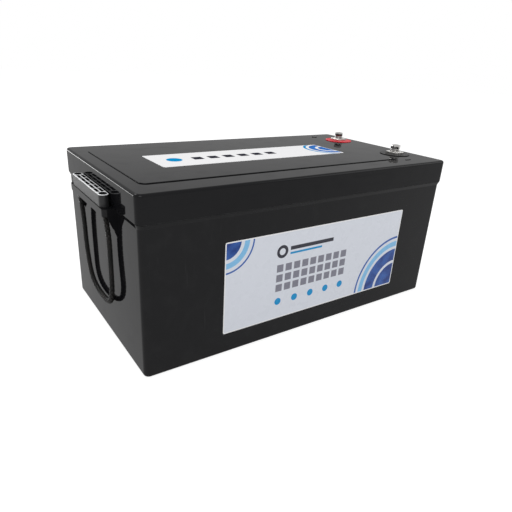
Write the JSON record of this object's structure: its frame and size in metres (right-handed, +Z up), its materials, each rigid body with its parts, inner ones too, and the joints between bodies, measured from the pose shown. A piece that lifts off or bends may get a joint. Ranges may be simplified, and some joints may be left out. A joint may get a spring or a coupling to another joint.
{
  "type": "deep cycle battery",
  "caption": "Deep cycle battery in a gloss black case with a skirted lid, rope handles on the ends, bolt terminals and printed labels; holds a cell stack and management board.",
  "frame": {"origin": "middle of the underside of the case", "axes": "+X along the case towards the terminals, +Y across it away from the labelled side, +Z up"},
  "size_m": [0.522, 0.269, 0.2351],
  "materials": {
    "case_gloss": "mirror gloss black",
    "seal_rubber": "matt",
    "front_print": "laminated print",
    "lid_print": "laminated print",
    "grip_matte": "satin",
    "rope_cord": "braided",
    "red_gloss": "gloss",
    "black_gloss": "gloss",
    "terminal_metal": "tinned",
    "bolt_steel": "stainless",
    "foam_grey": "foam",
    "cell_can": "satin",
    "sheet_white": "matt",
    "plate_board": "glass epoxy",
    "copper": "bright copper",
    "tinned_lug": "tinned copper",
    "circuit_green": "solder mask",
    "standoff_brass": "bright",
    "chip_black": "moulded",
    "sink_aluminium": "extruded",
    "plug_white": "moulded",
    "cable_sheath": "smooth"
  },
  "bodies": {
    "case": {"board": "circuit_green", "board_screws": "bolt_steel", "board_tabs": "copper", "cable_lugs": "tinned_lug", "case_tub": "case_gloss", "cell_1": "cell_can", "cell_2": "cell_can", "cell_3": "cell_can", "cell_4": "cell_can", "cell_5": "cell_can", "cell_6": "cell_can", "cell_7": "cell_can", "cell_8": "cell_can", "cell_nuts": "bolt_steel", "cell_sheets": "sheet_white", "end_foam": "foam_grey", "floor_pad": "foam_grey", "front_label": "front_print", "heat_sink": "sink_aluminium", "left_end_plate": "plate_board", "lid": "case_gloss", "lid_label": "lid_print", "lid_seal": "seal_rubber", "load_bar": "copper", "lower_band": "bolt_steel", "lug_screws": "bolt_steel", "negative_bar": "copper", "negative_disc": "black_gloss", "negative_terminal": "terminal_metal", "pack_cable": "cable_sheath", "positive_bar": "copper", "positive_disc": "red_gloss", "positive_terminal": "terminal_metal", "radio_module": "chip_black", "right_end_plate": "plate_board", "sense_harness": "cable_sheath", "sense_plug": "plug_white", "series_bars": "copper", "side_foam": "foam_grey", "standoffs": "standoff_brass", "tab_bolts": "bolt_steel", "terminal_nuts": "bolt_steel", "terminal_seals": "seal_rubber", "transistors": "chip_black", "upper_band": "bolt_steel"},
    "left_handle": {"left_grip": "grip_matte", "left_rope": "rope_cord", "left_knots": "rope_cord"},
    "right_handle": {"right_grip": "grip_matte", "right_rope": "rope_cord", "right_knots": "rope_cord"},
    "positive_washers": {"positive_flat_washer": "bolt_steel", "positive_spring_washer": "bolt_steel"},
    "positive_screw": {"positive_bolt": "bolt_steel"},
    "negative_washers": {"negative_flat_washer": "bolt_steel", "negative_spring_washer": "bolt_steel"},
    "negative_screw": {"negative_bolt": "bolt_steel"}
  },
  "joints": [
    {"name": "left_handle_lift", "type": "slide", "parent": "case", "child": "left_handle", "axis": [0, 0, 1], "range_m": [0, 0.08]},
    {"name": "right_handle_lift", "type": "slide", "parent": "case", "child": "right_handle", "axis": [0, 0, 1], "range_m": [0, 0.08]},
    {"name": "positive_bolt_rise", "type": "slide", "parent": "case", "child": "positive_washers", "axis": [0, 0, 1], "range_m": [0, 0.00625]},
    {"name": "positive_bolt_turn", "type": "hinge", "parent": "positive_washers", "child": "positive_screw", "pos_m": [0.21, 0.065, 0.224], "axis": [0, 0, 1], "range_deg": [0, 1800]},
    {"name": "negative_bolt_rise", "type": "slide", "parent": "case", "child": "negative_washers", "axis": [0, 0, 1], "range_m": [0, 0.00625]},
    {"name": "negative_bolt_turn", "type": "hinge", "parent": "negative_washers", "child": "negative_screw", "pos_m": [0.21, -0.065, 0.224], "axis": [0, 0, 1], "range_deg": [0, 1800]}
  ],
  "couplings": [
    {"joint": "positive_bolt_rise", "follows": "positive_bolt_turn", "m_per_rad": 0.00019894},
    {"joint": "negative_bolt_rise", "follows": "negative_bolt_turn", "m_per_rad": 0.00019894}
  ]
}
